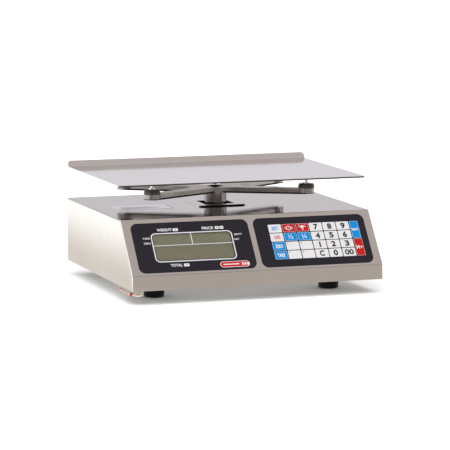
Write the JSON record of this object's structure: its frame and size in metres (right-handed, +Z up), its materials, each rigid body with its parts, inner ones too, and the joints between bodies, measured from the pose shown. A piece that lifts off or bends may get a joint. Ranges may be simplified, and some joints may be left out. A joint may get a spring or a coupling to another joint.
{
  "type": "retail price scale",
  "caption": "Counter price scale with a slanted display and keypad panel, and a lift-off platter on a cast spider and round post.",
  "frame": {"origin": "on the floor, under the middle of the bounding box", "axes": "+X to the operator's right, +Y to the back, +Z up"},
  "size_m": [0.35, 0.3141, 0.1585],
  "materials": {
    "case_steel": "brushed, satin, horizontal grain",
    "platter_steel": "brushed, fine grain along the width",
    "zinc_steel": "zinc plated",
    "polished_steel": "turned and polished",
    "cast_aluminium": "as cast, lightly tumbled",
    "cell_aluminium": "machined, anodised",
    "black_rubber": "moulded, satin",
    "black_film": "printed polyester, fine matt grain",
    "clear_lens": "clear acrylic",
    "lcd_grey": "olive grey liquid crystal glass",
    "key_white": "printed, satin",
    "key_red": "printed, satin",
    "key_blue": "printed, satin",
    "circuit_board": "solder mask over glass fibre",
    "spring_steel": "stamped domes",
    "battery_case": "moulded",
    "cable_black": "insulated cable",
    "jack_black": "moulded",
    "seal_wire": "twisted coated wire with a red bead"
  },
  "bodies": {
    "housing": {"base_plate": "zinc_steel", "battery": "battery_case", "cell_bolts": "zinc_steel", "cell_mounting_block": "cell_aluminium", "cover_screws": "zinc_steel", "display_board": "circuit_board", "display_overlay": "black_film", "display_window": "clear_lens", "inspection_seal": "seal_wire", "keypad_board": "circuit_board", "keypad_overlay": "black_film", "lcd_front": "lcd_grey", "lcd_rear": "lcd_grey", "load_cell": "cell_aluminium", "main_board": "circuit_board", "overload_stops": "zinc_steel", "power_jack": "jack_black", "rear_overlay": "black_film", "switch_domes": "spring_steel", "top_cover": "case_steel", "wiring_harness": "cable_black"},
    "load_platform": {"post": "polished_steel", "spider": "cast_aluminium", "spider_bolt": "zinc_steel", "platter_bumpers": "black_rubber"},
    "platter": {"platter": "platter_steel"},
    "key_change": {"key_change": "key_white"},
    "key_clear": {"key_clear": "key_white"},
    "key_double_zero": {"key_double_zero": "key_white"},
    "key_eight": {"key_eight": "key_white"},
    "key_five": {"key_five": "key_white"},
    "key_four": {"key_four": "key_white"},
    "key_half": {"key_half": "key_blue"},
    "key_light": {"key_light": "key_red"},
    "key_nine": {"key_nine": "key_white"},
    "key_one": {"key_one": "key_white"},
    "key_power": {"key_power": "key_red"},
    "key_preset_four": {"key_preset_four": "key_white"},
    "key_preset_one": {"key_preset_one": "key_white"},
    "key_preset_three": {"key_preset_three": "key_white"},
    "key_preset_two": {"key_preset_two": "key_white"},
    "key_print": {"key_print": "key_blue"},
    "key_quarter": {"key_quarter": "key_blue"},
    "key_seven": {"key_seven": "key_white"},
    "key_six": {"key_six": "key_white"},
    "key_tare": {"key_tare": "key_blue"},
    "key_three": {"key_three": "key_white"},
    "key_total": {"key_total": "key_red"},
    "key_two": {"key_two": "key_white"},
    "key_weigh_mode": {"key_weigh_mode": "key_white"},
    "key_zero": {"key_zero": "key_white"},
    "key_zero_mode": {"key_zero_mode": "key_blue"},
    "foot_pad_front_left": {"foot_pad_front_left": "black_rubber"},
    "foot_stud_front_left": {"foot_stud_front_left": "zinc_steel"},
    "foot_pad_front_right": {"foot_pad_front_right": "black_rubber"},
    "foot_stud_front_right": {"foot_stud_front_right": "zinc_steel"},
    "foot_pad_rear_left": {"foot_pad_rear_left": "black_rubber"},
    "foot_stud_rear_left": {"foot_stud_rear_left": "zinc_steel"},
    "foot_pad_rear_right": {"foot_pad_rear_right": "black_rubber"},
    "foot_stud_rear_right": {"foot_stud_rear_right": "zinc_steel"}
  },
  "joints": [
    {"name": "platform_deflection", "type": "slide", "parent": "housing", "child": "load_platform", "axis": [0, 0, -1], "range_m": [0, 0.0006], "stiffness_N_per_m": 327000, "springref_m": -0.00006, "deforming": ["load_cell"]},
    {"name": "platter_lift", "type": "slide", "parent": "load_platform", "child": "platter", "axis": [0, 0, 1], "range_m": [0, 0.04]},
    {"name": "press_change", "type": "slide", "parent": "housing", "child": "key_change", "axis": [0, 0.7778, -0.6285], "range_m": [0, 0.0004], "stiffness_N_per_m": 4000, "springref_m": -0.0001},
    {"name": "press_clear", "type": "slide", "parent": "housing", "child": "key_clear", "axis": [0, 0.7778, -0.6285], "range_m": [0, 0.0004], "stiffness_N_per_m": 4000, "springref_m": -0.0001},
    {"name": "press_double_zero", "type": "slide", "parent": "housing", "child": "key_double_zero", "axis": [0, 0.7778, -0.6285], "range_m": [0, 0.0004], "stiffness_N_per_m": 4000, "springref_m": -0.0001},
    {"name": "press_eight", "type": "slide", "parent": "housing", "child": "key_eight", "axis": [0, 0.7778, -0.6285], "range_m": [0, 0.0004], "stiffness_N_per_m": 4000, "springref_m": -0.0001},
    {"name": "press_five", "type": "slide", "parent": "housing", "child": "key_five", "axis": [0, 0.7778, -0.6285], "range_m": [0, 0.0004], "stiffness_N_per_m": 4000, "springref_m": -0.0001},
    {"name": "press_four", "type": "slide", "parent": "housing", "child": "key_four", "axis": [0, 0.7778, -0.6285], "range_m": [0, 0.0004], "stiffness_N_per_m": 4000, "springref_m": -0.0001},
    {"name": "press_half", "type": "slide", "parent": "housing", "child": "key_half", "axis": [0, 0.7778, -0.6285], "range_m": [0, 0.0004], "stiffness_N_per_m": 4000, "springref_m": -0.0001},
    {"name": "press_light", "type": "slide", "parent": "housing", "child": "key_light", "axis": [0, 0.7778, -0.6285], "range_m": [0, 0.0004], "stiffness_N_per_m": 4000, "springref_m": -0.0001},
    {"name": "press_nine", "type": "slide", "parent": "housing", "child": "key_nine", "axis": [0, 0.7778, -0.6285], "range_m": [0, 0.0004], "stiffness_N_per_m": 4000, "springref_m": -0.0001},
    {"name": "press_one", "type": "slide", "parent": "housing", "child": "key_one", "axis": [0, 0.7778, -0.6285], "range_m": [0, 0.0004], "stiffness_N_per_m": 4000, "springref_m": -0.0001},
    {"name": "press_power", "type": "slide", "parent": "housing", "child": "key_power", "axis": [0, 0.7778, -0.6285], "range_m": [0, 0.0004], "stiffness_N_per_m": 4000, "springref_m": -0.0001},
    {"name": "press_preset_four", "type": "slide", "parent": "housing", "child": "key_preset_four", "axis": [0, 0.7778, -0.6285], "range_m": [0, 0.0004], "stiffness_N_per_m": 4000, "springref_m": -0.0001},
    {"name": "press_preset_one", "type": "slide", "parent": "housing", "child": "key_preset_one", "axis": [0, 0.7778, -0.6285], "range_m": [0, 0.0004], "stiffness_N_per_m": 4000, "springref_m": -0.0001},
    {"name": "press_preset_three", "type": "slide", "parent": "housing", "child": "key_preset_three", "axis": [0, 0.7778, -0.6285], "range_m": [0, 0.0004], "stiffness_N_per_m": 4000, "springref_m": -0.0001},
    {"name": "press_preset_two", "type": "slide", "parent": "housing", "child": "key_preset_two", "axis": [0, 0.7778, -0.6285], "range_m": [0, 0.0004], "stiffness_N_per_m": 4000, "springref_m": -0.0001},
    {"name": "press_print", "type": "slide", "parent": "housing", "child": "key_print", "axis": [0, 0.7778, -0.6285], "range_m": [0, 0.0004], "stiffness_N_per_m": 4000, "springref_m": -0.0001},
    {"name": "press_quarter", "type": "slide", "parent": "housing", "child": "key_quarter", "axis": [0, 0.7778, -0.6285], "range_m": [0, 0.0004], "stiffness_N_per_m": 4000, "springref_m": -0.0001},
    {"name": "press_seven", "type": "slide", "parent": "housing", "child": "key_seven", "axis": [0, 0.7778, -0.6285], "range_m": [0, 0.0004], "stiffness_N_per_m": 4000, "springref_m": -0.0001},
    {"name": "press_six", "type": "slide", "parent": "housing", "child": "key_six", "axis": [0, 0.7778, -0.6285], "range_m": [0, 0.0004], "stiffness_N_per_m": 4000, "springref_m": -0.0001},
    {"name": "press_tare", "type": "slide", "parent": "housing", "child": "key_tare", "axis": [0, 0.7778, -0.6285], "range_m": [0, 0.0004], "stiffness_N_per_m": 4000, "springref_m": -0.0001},
    {"name": "press_three", "type": "slide", "parent": "housing", "child": "key_three", "axis": [0, 0.7778, -0.6285], "range_m": [0, 0.0004], "stiffness_N_per_m": 4000, "springref_m": -0.0001},
    {"name": "press_total", "type": "slide", "parent": "housing", "child": "key_total", "axis": [0, 0.7778, -0.6285], "range_m": [0, 0.0004], "stiffness_N_per_m": 4000, "springref_m": -0.0001},
    {"name": "press_two", "type": "slide", "parent": "housing", "child": "key_two", "axis": [0, 0.7778, -0.6285], "range_m": [0, 0.0004], "stiffness_N_per_m": 4000, "springref_m": -0.0001},
    {"name": "press_weigh_mode", "type": "slide", "parent": "housing", "child": "key_weigh_mode", "axis": [0, 0.7778, -0.6285], "range_m": [0, 0.0004], "stiffness_N_per_m": 4000, "springref_m": -0.0001},
    {"name": "press_zero", "type": "slide", "parent": "housing", "child": "key_zero", "axis": [0, 0.7778, -0.6285], "range_m": [0, 0.0004], "stiffness_N_per_m": 4000, "springref_m": -0.0001},
    {"name": "press_zero_mode", "type": "slide", "parent": "housing", "child": "key_zero_mode", "axis": [0, 0.7778, -0.6285], "range_m": [0, 0.0004], "stiffness_N_per_m": 4000, "springref_m": -0.0001},
    {"name": "foot_slide_front_left", "type": "slide", "parent": "housing", "child": "foot_pad_front_left", "axis": [0, 0, -1], "range_m": [0, 0.006]},
    {"name": "foot_turn_front_left", "type": "hinge", "parent": "foot_pad_front_left", "child": "foot_stud_front_left", "pos_m": [-0.1234, -0.0853, 0.0217], "axis": [0, 0, -1], "range_deg": [0, 1730]},
    {"name": "foot_slide_front_right", "type": "slide", "parent": "housing", "child": "foot_pad_front_right", "axis": [0, 0, -1], "range_m": [0, 0.006]},
    {"name": "foot_turn_front_right", "type": "hinge", "parent": "foot_pad_front_right", "child": "foot_stud_front_right", "pos_m": [0.1234, -0.0853, 0.0217], "axis": [0, 0, -1], "range_deg": [0, 1730]},
    {"name": "foot_slide_rear_left", "type": "slide", "parent": "housing", "child": "foot_pad_rear_left", "axis": [0, 0, -1], "range_m": [0, 0.006]},
    {"name": "foot_turn_rear_left", "type": "hinge", "parent": "foot_pad_rear_left", "child": "foot_stud_rear_left", "pos_m": [-0.1234, 0.115, 0.0217], "axis": [0, 0, -1], "range_deg": [0, 1730]},
    {"name": "foot_slide_rear_right", "type": "slide", "parent": "housing", "child": "foot_pad_rear_right", "axis": [0, 0, -1], "range_m": [0, 0.006]},
    {"name": "foot_turn_rear_right", "type": "hinge", "parent": "foot_pad_rear_right", "child": "foot_stud_rear_right", "pos_m": [0.1234, 0.115, 0.0217], "axis": [0, 0, -1], "range_deg": [0, 1730]}
  ],
  "couplings": [
    {"joint": "foot_turn_front_left", "follows": "foot_slide_front_left", "rad_per_m": 5026.5},
    {"joint": "foot_turn_front_right", "follows": "foot_slide_front_right", "rad_per_m": 5026.5},
    {"joint": "foot_turn_rear_left", "follows": "foot_slide_rear_left", "rad_per_m": 5026.5},
    {"joint": "foot_turn_rear_right", "follows": "foot_slide_rear_right", "rad_per_m": 5026.5}
  ]
}
